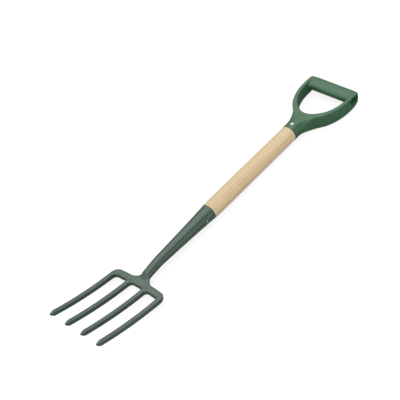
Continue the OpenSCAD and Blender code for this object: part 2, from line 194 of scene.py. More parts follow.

# %% [markdown]
# ## Enamel on forged steel
#
# Head and socket are dipped in a grey-green enamel. Close up it isn't flat: the forging's skin
# waves a little under it, the coat has a fine orange peel, and its tone drifts by a few percent.
# The drift goes into the colour, the rest into roughness and bump. Sharp edges and points are
# painted a lighter colour, a painted highlight. The gloss itself comes from a clear coat on the
# shader.

# %% Enamel
enamel, draw, shader, where = new_finish("grey_green_enamel")
drift = draw.noise(where, 26.0, 4.0, 0.6)
tone = draw.ramp(drift, (0.32, (0.032, 0.070, 0.046)), (0.68, (0.043, 0.088, 0.059)))
# painted highlight: sharp edges and points get a lighter enamel colour
edges = draw.add("ShaderNodeNewGeometry").outputs["Pointiness"]
painted_edge_highlight = draw.ramp(edges, (0.54, (0.0, 0.0, 0.0)), (0.66, (0.25, 0.25, 0.25)))
draw.feed(shader.inputs["Base Color"], draw.blend(painted_edge_highlight, tone, (0.20, 0.24, 0.22, 1.0)))
draw.feed(shader.inputs["Roughness"], draw.between(draw.noise(where, 160.0, 3.0), 0.22, 0.36))
waves = draw.bump(draw.noise(where, 110.0, 2.0), 0.16, 0.0006)
peel = draw.bump(draw.noise(where, 1300.0, 2.0), 0.10, 0.0002, waves)
draw.feed(shader.inputs["Normal"], peel)
shader.inputs["Specular IOR Level"].default_value = 0.6
shader.inputs["Coat Weight"].default_value = 0.5
shader.inputs["Coat Roughness"].default_value = 0.10
print("finish:", enamel.name)

# %% [markdown]
# ## Lacquered ash
#
# Ash is a pale, straight-grained wood. Its growth rings run almost along the shaft, so they show
# as long soft streaks, with short dark pores inside them. Squeezing the coordinates along the
# shaft stretches any noise into such fibres. A thin lacquer gives it a quiet shine.

# %% Ash
ash, draw, shader, where = new_finish("lacquered_ash")
fibres = draw.add("ShaderNodeMapping", {"Vector": where, "Scale": (1.0, 0.035, 1.0)})
ring_shift = draw.math("MULTIPLY", draw.noise(fibres, 40.0, 2.0), 0.020)
axes = draw.add("ShaderNodeSeparateXYZ", {"Vector": where})
across = draw.math("ADD", draw.math("MULTIPLY", axes.outputs["X"], 0.8),
                   draw.math("MULTIPLY", axes.outputs["Z"], 0.6))
rings = draw.math("SINE", draw.math("MULTIPLY", draw.math("ADD", across, ring_shift), 1500.0))
rings = draw.step(rings, -1.0, 1.0)
streaks = draw.noise(fibres, 95.0, 4.0, 0.6)
pale = draw.ramp(streaks, (0.30, (0.54, 0.38, 0.190)), (0.50, (0.65, 0.505, 0.30)),
                 (0.72, (0.68, 0.56, 0.37)))
ringed = draw.blend(draw.math("MULTIPLY", rings, 0.28), pale, (0.56, 0.37, 0.185, 1.0))
pores = draw.ramp(draw.noise(fibres, 1500.0, 2.0, 0.7), (0.60, (0.0,) * 3), (0.70, (1.0,) * 3))
pores = draw.math("MULTIPLY", pores, draw.math("ADD", draw.math("MULTIPLY", rings, 0.35), 0.08))
draw.feed(shader.inputs["Base Color"], draw.blend(pores, ringed, (0.40, 0.235, 0.11, 1.0)))
draw.feed(shader.inputs["Roughness"], draw.between(streaks, 0.50, 0.36))
draw.feed(shader.inputs["Normal"], draw.bump(pores, 0.25, 0.0002))
shader.inputs["Specular IOR Level"].default_value = 0.25
shader.inputs["Sheen Weight"].default_value = 0.4
shader.inputs["Sheen Roughness"].default_value = 0.5
print("finish:", ash.name)

# %% [markdown]
# ## Moulded grip plastic
#
# The grip is a richer green than the head. Moulded nylon has a satin skin: a fine spark-eroded
# texture, flow streaks that run with the melt along the bar, and a tone that is never quite even.

# %% Grip plastic
plastic, draw, shader, where = new_finish("green_grip_plastic")
flow = draw.add("ShaderNodeMapping", {"Vector": where, "Scale": (0.12, 1.0, 1.0)})
streaks = draw.noise(flow, 320.0, 3.0, 0.6)
cloud = draw.noise(where, 30.0, 3.0)
mixed = draw.math("ADD", draw.math("MULTIPLY", streaks, 0.55), draw.math("MULTIPLY", cloud, 0.45))
draw.feed(shader.inputs["Base Color"],
          draw.ramp(mixed, (0.36, (0.018, 0.094, 0.036)), (0.64, (0.029, 0.122, 0.050))))
draw.feed(shader.inputs["Roughness"], draw.between(cloud, 0.34, 0.50))
grain = draw.bump(draw.noise(where, 2200.0, 2.0), 0.12, 0.0002)
draw.feed(shader.inputs["Normal"], draw.bump(streaks, 0.10, 0.0003, grain))
shader.inputs["Specular IOR Level"].default_value = 0.85
print("finish:", plastic.name)

# %% [markdown]
# ## Bright rivet steel
#
# The rivets are plated and hammered over. A metal has no colour of its own beside its reflections,
# so roughness and small dents make it.

# %% Rivet steel
bright, draw, shader, where = new_finish("bright_rivet_steel")
dents = draw.noise(where, 420.0, 3.0)
draw.feed(shader.inputs["Base Color"],
          draw.ramp(dents, (0.3, (0.52, 0.53, 0.54)), (0.7, (0.62, 0.62, 0.61))))
draw.feed(shader.inputs["Roughness"], draw.between(dents, 0.16, 0.28))
draw.feed(shader.inputs["Normal"], draw.bump(dents, 0.25, 0.0003))
shader.inputs["Metallic"].default_value = 1.0
print("finish:", bright.name)

# %% [markdown]
# ## Sections and lofts
#
# Forgings and mouldings are drawn as sections along a path. A loft joins neighbouring sections
# with faces and closes both ends. Several lofts that run into each other make a rough blank, which
# modifiers then fuse and soften. What they made is kept as a plain mesh.


# %% Sections
def ease(t):
    """Smooth step from 0 to 1."""
    t = min(max(t, 0.0), 1.0)
    return t * t * (3 - 2 * t)


def mix(a, b, t):
    return a + (b - a) * t


def rounding(inset, radius):
    """Height that a rounded edge has lost at this distance from the edge."""
    if inset >= radius:
        return 0.0
    return radius - math.sqrt(max(0.0, radius**2 - (radius - inset) ** 2))


def quarter_turn(steps):
    """Angles from 0 to 90 degrees."""
    return [math.pi / 2 * i / steps for i in range(steps + 1)]


def section(width, depth, radius, corner_points=9, back=None):
    """Rounded rectangle as a list of flat points; its back corners may have another radius."""
    points, least_side = [], 0.01
    for corner, (sx, sy) in enumerate(((1, 1), (-1, 1), (-1, -1), (1, -1))):
        r = min(back if back and sy < 0 else radius, min(width, depth) / 2 - least_side)
        for i in range(corner_points):
            angle = math.pi / 2 * (corner + i / (corner_points - 1))
            points.append((sx * (width / 2 - r) + r * math.cos(angle),
                           sy * (depth / 2 - r) + r * math.sin(angle)))
    return points


def crowned(width, depth, power):
    """An oval section, fuller than an ellipse when the power is over 2."""
    def full(value):
        return math.copysign(abs(value) ** (2 / power), value)

    facets = 64
    turns = [2 * math.pi * i / facets for i in range(facets)]
    return [(width / 2 * full(math.cos(a)), depth / 2 * full(math.sin(a))) for a in turns]


def ring(flat, centre, across, up):
    """A flat section set in space on its own axes."""
    return [Vector(centre) + a * Vector(across) + b * Vector(up) for a, b in flat]


print("a section has", len(section(1.0, 1.0, 0.2)), "points")


# %% Lofts
def loft(blank, rings):
    """Adds one closed body through the rings to a bmesh."""
    rows = [[blank.verts.new(place(*point)) for point in one] for one in rings]
    for lower, upper in zip(rows, rows[1:]):
        for i in range(len(lower)):
            j = (i + 1) % len(lower)
            blank.faces.new((lower[i], lower[j], upper[j], upper[i]))
    blank.faces.new(rows[0][::-1])
    blank.faces.new(rows[-1])


def as_object(blank, name, finish=None):
    """Turns a bmesh into an object with its faces outwards."""
    bmesh.ops.recalc_face_normals(blank, faces=blank.faces)
    mesh = bpy.data.meshes.new(name)
    blank.to_mesh(mesh)
    blank.free()
    if finish:
        mesh.materials.append(finish)
    made = bpy.data.objects.new(name, mesh)
    bpy.context.scene.collection.objects.link(made)
    return made


def make_plain(made, finish):
    """Keeps what the modifiers made as a plain smooth mesh, and drops the modifiers."""
    seen = made.evaluated_get(bpy.context.evaluated_depsgraph_get())
    mesh = bpy.data.meshes.new_from_object(seen)
    made.modifiers.clear()
    made.data = mesh
    mesh.materials.clear()
    mesh.materials.append(finish)
    mesh.polygons.foreach_set("material_index", [0] * len(mesh.polygons))
    mesh.shade_smooth()


def fuse(made, grain, rounds):
    """One skin round all the bodies of a blank, with its inner corners softened."""
    skin = made.modifiers.new("fuse", "REMESH")
    skin.mode = "VOXEL"
    skin.voxel_size = grain
    soft = made.modifiers.new("soften", "SMOOTH")
    soft.factor = 0.5
    soft.iterations = rounds


print("lofts ready")

# %% [markdown]
# ## The head's dish
#
# The tines leave the shoulder at a small rake and curve forward on a large radius. Every section
# of the head sits on that dish: u runs from the middle of the shoulder toward the points.

# %% The head's dish
SOCKET_LENGTH, SOCKET_END = 158.0, 22.2
NECK_LENGTH, NECK_WIDTH = 52.0, 19.6
SHOULDER_WIDTH, SHOULDER_DEPTH, SHOULDER_EDGE = 13.2, 11.0, 4.4
TINES, PITCH, SPLAY = 4, 41.7, 0.8
TINE_LENGTH, TINE_WIDTH, TINE_DEPTH, TINE_EDGE = 177.0, 9.7, 11.5, 1.6
RAKE, DISH_RADIUS, HEAD_DROP = math.radians(7.2), 690.0, 10.4
NECK_Y = -SOCKET_LENGTH
SHOULDER_Y = NECK_Y - NECK_LENGTH - SHOULDER_WIDTH / 2


def dish_point(x, u):
    rise = u * math.tan(RAKE) + u * u / (2 * DISH_RADIUS)
    return Vector((x, SHOULDER_Y - u, rise - HEAD_DROP))


def dish_axes(u):
    """Directions down the dish and out of it."""
    slope = math.atan(math.tan(RAKE) + u / DISH_RADIUS)
    down = Vector((0, -math.cos(slope), math.sin(slope)))
    return down, Vector((0, math.sin(slope), math.cos(slope)))


def dish_ring(x, u, heading, flat):
    """A section across a bar that heads this way on the dish, 0 along +X and 90 down the tines."""
    down, up = dish_axes(u)
    angle = math.radians(heading)
    aside = -math.sin(angle) * Vector((1, 0, 0)) + math.cos(angle) * down
    return ring(flat, dish_point(x, u), aside, up)


print("shoulder at y =", SHOULDER_Y, "mm")

# %% A bend on the dish
# its steps, how far it runs down into the tines, and how much thinner than a tine it is there
BEND_STEPS, BEND_LEG, BEND_SLIM = 16, 6.0, 0.3


def bend(blank, x0, x1, radius, top, width, depth, edge):
    """A bar that comes up one tine, turns along the shoulder and goes down another."""
    def turn(i):
        s = ease(i / BEND_STEPS)
        return section(mix(TINE_WIDTH - BEND_SLIM, width, s), mix(TINE_DEPTH - BEND_SLIM, depth, s),
                       mix(TINE_EDGE, edge, s))

    leg, first, last = top + radius + BEND_LEG, turn(0), turn(BEND_STEPS)
    arc = [(radius - radius * math.cos(a), top + radius - radius * math.sin(a),
            math.degrees(a) - 90, turn(i)) for i, a in enumerate(quarter_turn(BEND_STEPS))]
    rings = [dish_ring(x0, leg, -90, first)]
    rings += [dish_ring(x0 + x, u, heading, flat) for x, u, heading, flat in arc]
    for i in range(1, 2 * BEND_STEPS):
        x = mix(x0 + radius, x1 - radius, i / (2 * BEND_STEPS))
        rings.append(dish_ring(x, top, 0, last))
    rings += [dish_ring(x1 - x, u, -heading, flat) for x, u, heading, flat in reversed(arc)]
    rings.append(dish_ring(x1, leg, 90, first))
    loft(blank, rings)


print("a bend has", 4 * BEND_STEPS + 3, "rings")

# %% [markdown]
# ## Shoulder and neck
#
# The smith draws a round neck out of the shoulder. It leans back to the shoulder's level, and just
# above it the front slopes down to a flat plate, whose curved sides are the webs. The shoulder's
# ends turn down into the outer tines.

# %% Shoulder blank
HEAD_CORNER = 15.2
OUTER_X = (TINES - 1) / 2 * PITCH
CORNER_LINE = HEAD_CORNER - SHOULDER_WIDTH / 2
blank = bmesh.new()
bend(blank, -OUTER_X, OUTER_X, CORNER_LINE, 0.0, SHOULDER_WIDTH, SHOULDER_DEPTH, SHOULDER_EDGE)
print("shoulder blank:", len(blank.faces), "faces")

# %% Neck blank
ACROSS, OUT = Vector((1, 0, 0)), Vector((0, 0, 1))
NECK_FOOT = NECK_Y - NECK_LENGTH
NECK_DROP, NECK_CURVE, NECK_SLOPE = 7.4, 1.2, 13.0
PLATE_DEPTH = SHOULDER_DEPTH - 0.3
PLATE = PLATE_DEPTH / 2
# rings lie closer together near the shoulder
NECK_STEPS, CROWDING, ROUND_POINTS = 40, 1.5, 17


def neck_level(t):
    """Height of the neck's middle line, from the shoulder (0) to the socket (1)."""
    return -NECK_DROP * (1 - max(t, 0.0)) ** NECK_CURVE


rings = []
for i in range(NECK_STEPS + 1):
    v = NECK_LENGTH * (i / NECK_STEPS) ** CROWDING
    t = v / NECK_LENGTH
    radius = mix(NECK_WIDTH, SOCKET_END, t) / 2
    front = mix(PLATE - HEAD_DROP, neck_level(t) + radius, ease(v / NECK_SLOPE))
    back = mix(-PLATE - HEAD_DROP, neck_level(t) - radius, ease(v / NECK_SLOPE))
    flat = section(2 * radius, front - back, radius, ROUND_POINTS)
    rings.append(ring(flat, (0, NECK_FOOT + v, (front + back) / 2), ACROSS, OUT))
# the neck runs on a little way inside the socket, and its tang further
SPIGOT, SPIGOT_START, SPIGOT_END, TANG, TANG_END = SOCKET_END - 0.4, 0.8, 6.0, 12.0, 22.0
for width, y in ((SPIGOT, SPIGOT_START), (SPIGOT, SPIGOT_END),
                 (TANG, SPIGOT_END), (TANG, TANG_END)):
    flat = section(width, width, width / 2, ROUND_POINTS)
    rings.append(ring(flat, (0, NECK_Y + y, 0), ACROSS, OUT))
loft(blank, rings)
print("with the neck:", len(blank.faces), "faces")

# %% Webs, and down to the shoulder
WEB_RADIUS, WEB_SINK, WEB_LEVEL, WEB_STEPS = 20.0, 1.5, -9.2, 24
WEB_THICK, WEB_THIN, WEB_PINCH = 8.4, 5.0, 1.5
rings = []
for i in range(WEB_STEPS + 1):
    v = mix(-WEB_SINK, WEB_RADIUS, (i / WEB_STEPS) ** CROWDING)
    t = max(v, 0.0) / WEB_RADIUS
    half_width = NECK_WIDTH / 2 + rounding(v + WEB_SINK, WEB_RADIUS + WEB_SINK) - WEB_PINCH * t
    level = mix(WEB_LEVEL, neck_level(v / NECK_LENGTH), ease(t))
    flat = section(2 * half_width, mix(WEB_THICK, WEB_THIN, t), WEB_THICK / 2)
    rings.append(ring(flat, (0, NECK_FOOT + v, level), ACROSS, OUT))
loft(blank, rings)

# neck and webs both run on down to the shoulder's middle line
neck_end = section(NECK_WIDTH, 2 * PLATE, SHOULDER_EDGE)
web_end = section(NECK_WIDTH + 2 * (WEB_RADIUS + WEB_SINK), WEB_THICK, WEB_THICK / 2)
ends = ((neck_end, NECK_FOOT, -HEAD_DROP), (web_end, NECK_FOOT - WEB_SINK, WEB_LEVEL))
for flat, y, level in ends:
    loft(blank, [ring(flat, (0, y, level), ACROSS, OUT),
                 ring(flat, dish_point(0, 0), ACROSS, dish_axes(0)[1])])
forged_head = as_object(blank, "forged_head", enamel)
print("shoulder and neck blank:", len(forged_head.data.polygons), "faces")

# %% [markdown]
# ## One crotch, used three times
#
# Between two tines the metal turns in a U. It is modelled once, for the first gap, and the node
# tree below repeats it at the tines' pitch.

# %% Crotch blank
CROTCH_RADIUS, CROTCH_WEB, CROTCH_EDGE = 7.2, 3.8, 3.5
blank = bmesh.new()
bend(blank, -PITCH / 2, PITCH / 2, CROTCH_RADIUS + TINE_WIDTH / 2,
     (SHOULDER_WIDTH - TINE_WIDTH) / 2 + CROTCH_WEB, TINE_WIDTH, PLATE_DEPTH, CROTCH_EDGE)
crotch = as_object(blank, "crotch_blank", enamel)
print("crotch blank:", len(crotch.data.polygons), "faces")

# %% [markdown]
# ## Four tines from one node tree
#
# All tines are the same: a square section, swept along the dish, thinner toward the end, with a
# short blunt point. That is a rule and a repeat, so Geometry Nodes make them. One curve is bent
# onto the dish, Curve to Mesh sweeps the section along it, and Instance on Points sets a copy at
# each place on the shoulder, turned outwards by the splay. The same tree sets a crotch in each gap
# and bends shoulder and crotches into a shallow bow, with its ends toward the points.


# %% Trees with named inputs
def new_tree(name, inputs):
    """A geometry tree with named inputs after the geometry itself."""
    tree = bpy.data.node_groups.new(name, "GeometryNodeTree")
    tree.interface.new_socket("Geometry", in_out="INPUT", socket_type="NodeSocketGeometry")
    tree.interface.new_socket("Geometry", in_out="OUTPUT", socket_type="NodeSocketGeometry")
    for label, kind in inputs.items():
        tree.interface.new_socket(label, in_out="INPUT", socket_type="NodeSocket" + kind)
    recipe = Recipe(tree)
    return recipe, recipe.add("NodeGroupInput").outputs, recipe.add("NodeGroupOutput")


def run_tree(made, recipe, values):
    """Puts the tree on an object and sets its inputs by their identifiers."""
    modifier = made.modifiers.new(recipe.tree.name, "NODES")
    modifier.node_group = recipe.tree
    for item in recipe.tree.interface.items_tree:
        if item.in_out == "INPUT" and item.name in values:
            modifier[item.identifier] = values[item.name]


tree, given, result = new_tree("forged_tines", {
    "Tines": "Int", "Pitch": "Float", "Splay": "Float", "Length": "Float", "Width": "Float",
    "Depth": "Float", "Edge": "Float", "Taper": "Float", "Point": "Float", "Tip": "Float",
    "Lean": "Float", "Rake": "Float", "Dish Radius": "Float", "Root": "Float", "Bow": "Float",
    "Start": "Vector", "Crotch": "Object", "Finish": "Material"})
print("tine tree inputs:", len(tree.tree.interface.items_tree) - 1)

# %% One tine
PATH_POINTS, EDGE_POINTS = 177, 6
# where along the tine, and how far into its point
along = tree.add("GeometryNodeSplineParameter").outputs["Factor"]
u = tree.between(along, given["Root"], given["Length"])
shank = tree.math("SUBTRACT", given["Length"], given["Point"])
in_point = tree.math("DIVIDE", tree.math("SUBTRACT", u, shank), given["Point"])
in_point = tree.math("MAXIMUM", in_point, 0.0)
# the dish: rake and curve, and the lean of the point
rise = tree.math("MULTIPLY", u, tree.math("TANGENT", given["Rake"]))
curve = tree.math("DIVIDE", tree.math("MULTIPLY", u, u),
                  tree.math("MULTIPLY", given["Dish Radius"], 2.0))
height = tree.math("ADD", tree.math("ADD", rise, curve),
                   tree.math("MULTIPLY", in_point, given["Lean"]))
path_point = tree.add("ShaderNodeCombineXYZ", {"Y": tree.math("MULTIPLY", u, -1.0), "Z": height})
line = tree.add("GeometryNodeCurvePrimitiveLine")
fine = tree.add("GeometryNodeResampleCurve", {"Curve": line, "Count": PATH_POINTS})
path = tree.add("GeometryNodeSetPosition", {"Geometry": fine, "Position": path_point})
level = tree.add("GeometryNodeSetCurveNormal", {"Curve": path}, mode="Z_UP")
# the section, and its taper
square = tree.add("GeometryNodeCurvePrimitiveQuadrilateral",
                  {"Width": given["Width"], "Height": given["Depth"]})
soft_square = tree.add("GeometryNodeFilletCurve", {
    "Curve": square, "Count": EDGE_POINTS, "Radius": given["Edge"]}, mode="POLY")
shank_part = tree.math("MINIMUM", tree.math("DIVIDE", u, shank), 1.0)
taper = tree.math("SUBTRACT", 1.0, tree.math("MULTIPLY", shank_part,
                                             tree.math("SUBTRACT", 1.0, given["Taper"])))
tip_scale = tree.math("DIVIDE", tree.math("MULTIPLY", given["Tip"], 2.0), given["Width"])
size = tree.math("ADD", taper, tree.math("MULTIPLY", in_point,
                                         tree.math("SUBTRACT", tip_scale, given["Taper"])))
tine = tree.add("GeometryNodeCurveToMesh", {"Curve": level, "Profile Curve": soft_square,
                                            "Scale": size, "Fill Caps": True})
print("one tine:", len(tree.tree.nodes), "nodes")

# %% A tine at each place, a crotch in each gap
half = tree.math("DIVIDE", tree.math("SUBTRACT", given["Tines"], 1.0), 2.0)
step = tree.add("ShaderNodeCombineXYZ", {"X": given["Pitch"]})
first_x = tree.math("MULTIPLY", tree.math("MULTIPLY", half, given["Pitch"]), -1.0)
first = tree.add("ShaderNodeVectorMath", operation="ADD")
tree.feed(first.inputs[0], given["Start"])
tree.feed(first.inputs[1], tree.add("ShaderNodeCombineXYZ", {"X": first_x}))
places = tree.add("GeometryNodeMeshLine", {"Count": given["Tines"], "Start Location": first,
                                           "Offset": step})
number = tree.add("GeometryNodeInputIndex")
swing = tree.math("MULTIPLY", tree.math("SUBTRACT", number, half),
                  tree.math("DIVIDE", given["Splay"], given["Length"]))
turned = tree.add("FunctionNodeEulerToRotation",
                  {"Euler": tree.add("ShaderNodeCombineXYZ", {"Z": swing})})
tines = tree.add("GeometryNodeInstanceOnPoints", {"Points": places, "Instance": tine,
                                                  "Rotation": turned})
gap_x = tree.math("ADD", first_x, tree.math("DIVIDE", given["Pitch"], 2.0))
gaps = tree.add("GeometryNodeMeshLine", {
    "Count": tree.math("SUBTRACT", given["Tines"], 1.0), "Offset": step,
    "Start Location": tree.add("ShaderNodeCombineXYZ", {"X": gap_x})})
shape = tree.add("GeometryNodeObjectInfo", {"Object": given["Crotch"]}, transform_space="RELATIVE")
crotches = tree.add("GeometryNodeInstanceOnPoints", {"Points": gaps,
                                                     "Instance": shape.outputs["Geometry"]})
crotches = tree.add("GeometryNodeRealizeInstances", {"Geometry": crotches})
print("tines and crotches:", len(tree.tree.nodes), "nodes")

# %% Bow, and all together
shoulder = tree.add("GeometryNodeJoinGeometry")
for part in (given["Geometry"], crotches.outputs[0]):
    tree.tree.links.new(part, shoulder.inputs[0])
point = tree.add("ShaderNodeSeparateXYZ", {"Vector": tree.add("GeometryNodeInputPosition")})
share = tree.math("DIVIDE", point.outputs["X"], first_x)
droop = tree.math("MULTIPLY", tree.math("MULTIPLY", share, share), given["Bow"])
shift = tree.add("ShaderNodeCombineXYZ", {
    "Y": tree.math("MULTIPLY", droop, -1.0),
    "Z": tree.math("MULTIPLY", droop, tree.math("TANGENT", given["Rake"]))})
bowed = tree.add("GeometryNodeSetPosition", {"Geometry": shoulder, "Offset": shift})
joined = tree.add("GeometryNodeJoinGeometry")
for part in (bowed.outputs[0], tines.outputs[0]):
    tree.tree.links.new(part, joined.inputs[0])
solid = tree.add("GeometryNodeRealizeInstances", {"Geometry": joined})
coated = tree.add("GeometryNodeSetMaterial", {"Geometry": solid, "Material": given["Finish"]})
tree.feed(result.inputs[0], coated)
print("tine tree:", len(tree.tree.nodes), "nodes")

# %% [markdown]
# ## Forge the head into one piece
#
# The tree's lofts and sweeps only overlap. A voxel remesh wraps one closed skin round them, and a
# few rounds of smoothing give the inner corners the soft radii that a drop forging has.

# %% Forge the head
BOW, TAPER, POINT, TIP, LEAN = 3.2, 0.89, 8.5, 1.5, 1.0
# trimmed a little, to stay inside the CAD model's box
TINE_REACH, ROOT_WIDTH = TINE_LENGTH - 1.45, TINE_WIDTH - 0.1
run_tree(forged_head, tree, {
    "Tines": TINES, "Pitch": PITCH * MM, "Splay": SPLAY * MM, "Length": TINE_REACH * MM,
    "Width": ROOT_WIDTH * MM, "Depth": TINE_DEPTH * MM, "Edge": TINE_EDGE * MM, "Taper": TAPER,
    "Point": POINT * MM, "Tip": TIP * MM, "Lean": LEAN * MM, "Rake": RAKE,
    "Dish Radius": DISH_RADIUS * MM, "Root": (CORNER_LINE + BOW) * MM, "Bow": BOW * MM,
    "Start": place(*dish_point(0, 0)), "Crotch": crotch, "Finish": enamel})
fuse(forged_head, grain=0.70 * MM, rounds=9)
make_plain(forged_head, enamel)
bpy.data.objects.remove(crotch)
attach(forged_head, "root")
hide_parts("fork_head")
print("forged head:", len(forged_head.data.polygons), "faces")

# %% [markdown]
# ## Turned and rolled pieces
#
# Socket and shaft are round, so a profile spun about the shaft's axis makes them. A lathe helper
# takes radius and distance along the shaft.


# %% Lathe
def lathe(name, profile, finish, facets=128):
    """Spins a closed outline of (radius, y) points about the shaft's axis; radius 0 lies on it."""
    turned = bmesh.new()
    rows = []
    for radius, y in profile:
        if radius < 1e-6:
            rows.append([turned.verts.new(place(0, y, 0))])
            continue
        angles = [2 * math.pi * i / facets for i in range(facets)]
        rows.append([turned.verts.new(place(radius * math.cos(a), y, radius * math.sin(a)))
                     for a in angles])
    for lower, upper in zip(rows, rows[1:] + rows[:1]):
        for i in range(facets):
            j = (i + 1) % facets
            if len(lower) == 1 and len(upper) == 1:
                continue
            if len(lower) == 1:
                turned.faces.new((lower[0], upper[j], upper[i]))
            elif len(upper) == 1:
                turned.faces.new((lower[i], lower[j], upper[0]))
            else:
                turned.faces.new((lower[i], lower[j], upper[j], upper[i]))
    made = as_object(turned, name, finish)
    made.data.shade_smooth()
    made.data.set_sharp_from_angle(angle=math.radians(40))
    return made


print("lathe ready")

# %% [markdown]
# ## Socket
#
# The steel socket widens from the neck to its mouth in a gentle curve. Its lip is a thin rounded
# edge round the wood, and its bore tapers with it.

# %% Socket
SOCKET_MOUTH, SOCKET_WALL, SOCKET_CURVE = 36.0, 1.8, 0.3


def socket_radius(s):
    t = s / SOCKET_LENGTH
    return (SOCKET_END + (SOCKET_MOUTH - SOCKET_END) * mix(t, t * t, SOCKET_CURVE)) / 2


SOCKET_STEPS, LIP = 60, 0.5
TANG_HOLE, TANG_HOLE_END, BORE_END = 6.2, 23.0, 39.0
outside = [(socket_radius(SOCKET_LENGTH * i / SOCKET_STEPS), SOCKET_LENGTH * i / SOCKET_STEPS)
           for i in range(SOCKET_STEPS)]
lip = [(socket_radius(SOCKET_LENGTH) - LIP * (1 - math.cos(a)),
        SOCKET_LENGTH - LIP * (1 - math.sin(a))) for a in quarter_turn(6)]
inside = [(socket_radius(s) - SOCKET_WALL, s) for s in (SOCKET_LENGTH, 120.0, 80.0, BORE_END)]
bottom = [(0.0, BORE_END), (0.0, TANG_HOLE_END), (TANG_HOLE, TANG_HOLE_END)]
profile = [(TANG_HOLE, 0.0)] + outside + lip + inside + bottom
socket = lathe("tapered_socket", [(r, NECK_Y + s) for r, s in profile], enamel)
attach(socket, "root")
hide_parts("socket")
print("socket:", len(socket.data.polygons), "faces")

# %% [markdown]
# ## Shaft
#
# A turned ash shaft: a tapered end in the socket, a bare length that swells very slightly away
# from the socket's lip, and a tenon in the grip.

# %% Shaft
SHAFT, SHAFT_LENGTH, SEAT_LENGTH, SEAT_GAP = 38.0, 275.0, 118.0, 0.15
SWELL, SWELL_LENGTH = 0.8, 30.0
TENON, TENON_END, TENON_CHAMFER = 16.0, SHAFT_LENGTH + 48.0, 2.0
seat = [(socket_radius(SOCKET_LENGTH - d) - SOCKET_WALL - SEAT_GAP, -d)
        for d in [SEAT_LENGTH * (1 - i / 12) for i in range(13)]]
swell = [((SHAFT - SWELL) / 2 + SWELL / 2 * ease(i / 8), SWELL_LENGTH * i / 8) for i in range(9)]
bare = [(SHAFT / 2, SWELL_LENGTH + (SHAFT_LENGTH - SWELL_LENGTH) * i / 20) for i in range(1, 21)]
tenon = [(TENON, SHAFT_LENGTH), (TENON, TENON_END - TENON_CHAMFER),
         (TENON - TENON_CHAMFER, TENON_END)]
profile = [(0.0, -SEAT_LENGTH)] + seat + swell + bare + tenon + [(0.0, TENON_END)]
shaft = lathe("ash_shaft", profile, ash)
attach(shaft, "root")
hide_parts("shaft")
print("shaft:", len(shaft.data.polygons), "faces")

# %% [markdown]
# ## The D grip
#
# Barrel, throat, arms and bar are one moulding. Seen from the front the arms run between two
# rounded outlines, a wide outer one and the hand opening; from the side they are deep walls whose
# ends round down to the bar. Each arm is a loft of upright sections between the outlines, and the
# same fuse step as on the head gives the moulding its soft inner corners.

# %% Grip outlines
GRIP_Y = SHAFT_LENGTH
THROAT_LENGTH, OPENING, BAR_WIDTH = 62.5, 87.5, 35.0
GRIP_HALF, ARM, CROTCH_THICK = 63.8, 5.5, 14.0
ARM_FRONT, ARM_BACK, BAR_FRONT, BAR_BACK = 15.6, 19.2, 13.0, 9.4
END_FRONT, END_BACK, GRIP_CORNER = 16.0, 9.5, 13.5
OPENING_Y = GRIP_Y + THROAT_LENGTH
BAR_Y = OPENING_Y + OPENING
GRIP_END = BAR_Y + BAR_WIDTH
INNER_HALF = GRIP_HALF - ARM
OUTER_POWER, INNER_POWER, INNER_STRAIGHT = 0.98, 1.1, 3.0


def outline(angle, half, depth, end_y, power):
    """A point on a rounded outline, from the crotch (0) round to the bar (90)."""
    s, c = math.sin(math.radians(angle)), math.cos(math.radians(angle))
    return Vector((half * math.copysign(abs(s) ** power, s), end_y - depth * c**power, 0.0))


def outer_half_at(y):
    """Half the width of the outer outline, below the bar."""
    cosine = ((BAR_Y - y) / (OPENING + CROTCH_THICK)) ** (1 / OUTER_POWER)
    return GRIP_HALF * math.sin(math.acos(cosine)) ** OUTER_POWER


print("grip ends at y =", GRIP_END, "mm")


# %% Sections of an arm
# the rim's height over the bar, the back's rise toward the end, and the radii of the edges
RIM, END_RISE, RISE_POWER, FRONT_EDGE, BACK_EDGE = 1.6, 16.0, 2.8, 2.0, 4.0


def arm_ring(inner, outer, to_end):
    """An upright section of an arm between its two outlines."""
    across = outer - inner
    y = (inner.y + outer.y) / 2
    front = mix(ARM_FRONT, BAR_FRONT + RIM, ease((y - BAR_Y) / BAR_WIDTH))
    top = front - rounding(to_end, END_FRONT)
    rise = END_RISE * (max(y - BAR_Y, 0.0) / BAR_WIDTH) ** RISE_POWER
    bottom = min(rise - ARM_BACK, rounding(to_end, END_BACK) - BAR_BACK)
    centre = (inner + outer) / 2 + Vector((0, 0, (top + bottom) / 2))
    flat = section(across.length, top - bottom, FRONT_EDGE, back=BACK_EDGE)
    return ring(flat, centre, across.normalized(), OUT)


print("arms run from", -ARM_BACK, "to", ARM_FRONT, "mm")

# %% Arms
# the arms cross a little at the crotch, and get thicker toward the bar
ARM_START, ARM_STEPS, SIDE_STEPS, END_STEPS = -4.0, 64, 8, 24
THICKER, THICKER_FROM, THICKER_LENGTH, LEAST_ARM = 3.4, -66.0, 63.0, 5.0


